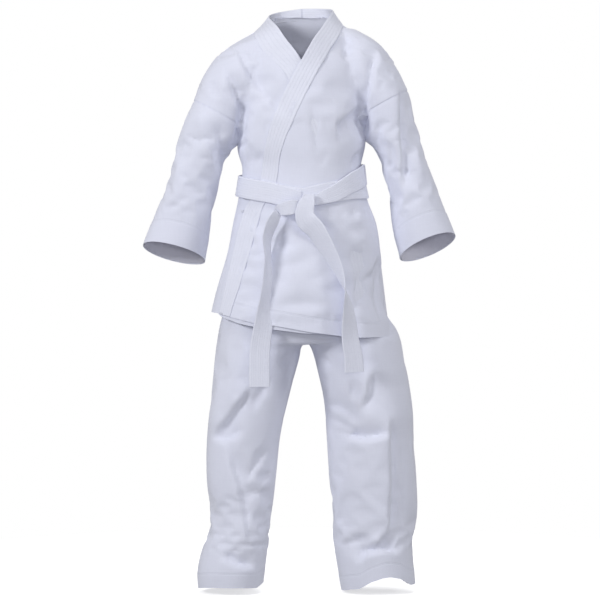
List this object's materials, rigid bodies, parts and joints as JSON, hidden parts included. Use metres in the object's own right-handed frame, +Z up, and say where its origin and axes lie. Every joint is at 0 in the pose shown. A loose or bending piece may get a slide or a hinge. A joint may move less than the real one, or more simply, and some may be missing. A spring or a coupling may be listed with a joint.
{
  "type": "martial arts uniform",
  "caption": "Child's white karate uniform in its worn shape: crossed jacket with stitched lapel band, wide sleeves, knotted cotton belt with hanging ends, and straight trousers.",
  "frame": {"origin": "the middle of the shoulder rest, between the shoulder lines, where the uniform hangs on its wearer", "axes": "+Z up, -Y out of the uniform's front, +X towards the wearer's left hand"},
  "size_m": [0.597, 0.2376, 1.1051],
  "materials": {
    "canvas": "white cotton canvas, 270 g/m2, plain weave",
    "lapel": "white cotton canvas folded double, with rows of stitching",
    "belt_cotton": "white cotton over a core, with close rows of stitching",
    "facing": "white cotton canvas, inside faces",
    "elastic": "white woven elastic"
  },
  "bodies": {
    "root": {"left_front_panel": "canvas", "right_front_panel": "canvas", "left_collar_band": "lapel", "right_collar_band": "lapel", "left_back_panel": "canvas", "left_underarm_gusset": "canvas", "left_vent_stay": "facing", "trouser_left_front_top": "canvas", "trouser_left_back_top": "canvas", "right_back_panel": "canvas", "right_underarm_gusset": "canvas", "right_vent_stay": "facing", "trouser_right_front_top": "canvas", "trouser_right_back_top": "canvas", "tie_bartack": "belt_cotton", "belt_inner_turn": "belt_cotton", "belt_outer_turn": "belt_cotton", "belt_knot_centre": "belt_cotton", "belt_knot_loop": "belt_cotton", "belt_cross_strap": "belt_cotton", "trouser_crotch_gusset": "canvas", "trouser_waistband": "canvas", "waistband_elastic": "elastic"},
    "right_sleeve_body": {"right_sleeve": "canvas", "right_cuff_facing": "facing"},
    "left_sleeve_body": {"left_sleeve": "canvas", "left_cuff_facing": "facing"},
    "right_belt_end": {"belt_right_tail": "belt_cotton"},
    "left_belt_end": {"belt_left_tail": "belt_cotton"},
    "right_leg_body": {"trouser_right_leg_front": "canvas", "trouser_right_leg_back": "canvas", "trouser_right_hem_facing": "facing"},
    "left_leg_body": {"trouser_left_leg_front": "canvas", "trouser_left_leg_back": "canvas", "trouser_left_hem_facing": "facing"}
  },
  "joints": [
    {"name": "right_sleeve_lift", "type": "hinge", "parent": "root", "child": "right_sleeve_body", "pos_m": [-0.15, 0, -0.075], "axis": [0, 1, 0], "range_deg": [0, 45]},
    {"name": "left_sleeve_lift", "type": "hinge", "parent": "root", "child": "left_sleeve_body", "pos_m": [0.15, 0, -0.075], "axis": [0, -1, 0], "range_deg": [0, 45]},
    {"name": "right_belt_end_swing", "type": "hinge", "parent": "root", "child": "right_belt_end", "pos_m": [-0.036, -0.121, -0.327], "axis": [-1, 0, 0], "range_deg": [0, 70]},
    {"name": "left_belt_end_swing", "type": "hinge", "parent": "root", "child": "left_belt_end", "pos_m": [0.01, -0.121, -0.331], "axis": [-1, 0, 0], "range_deg": [0, 70]},
    {"name": "right_leg_spread", "type": "hinge", "parent": "root", "child": "right_leg_body", "pos_m": [-0.088, 0, -0.58], "axis": [0, 1, 0], "range_deg": [0, 18]},
    {"name": "left_leg_spread", "type": "hinge", "parent": "root", "child": "left_leg_body", "pos_m": [0.088, 0, -0.58], "axis": [0, -1, 0], "range_deg": [0, 18]}
  ]
}
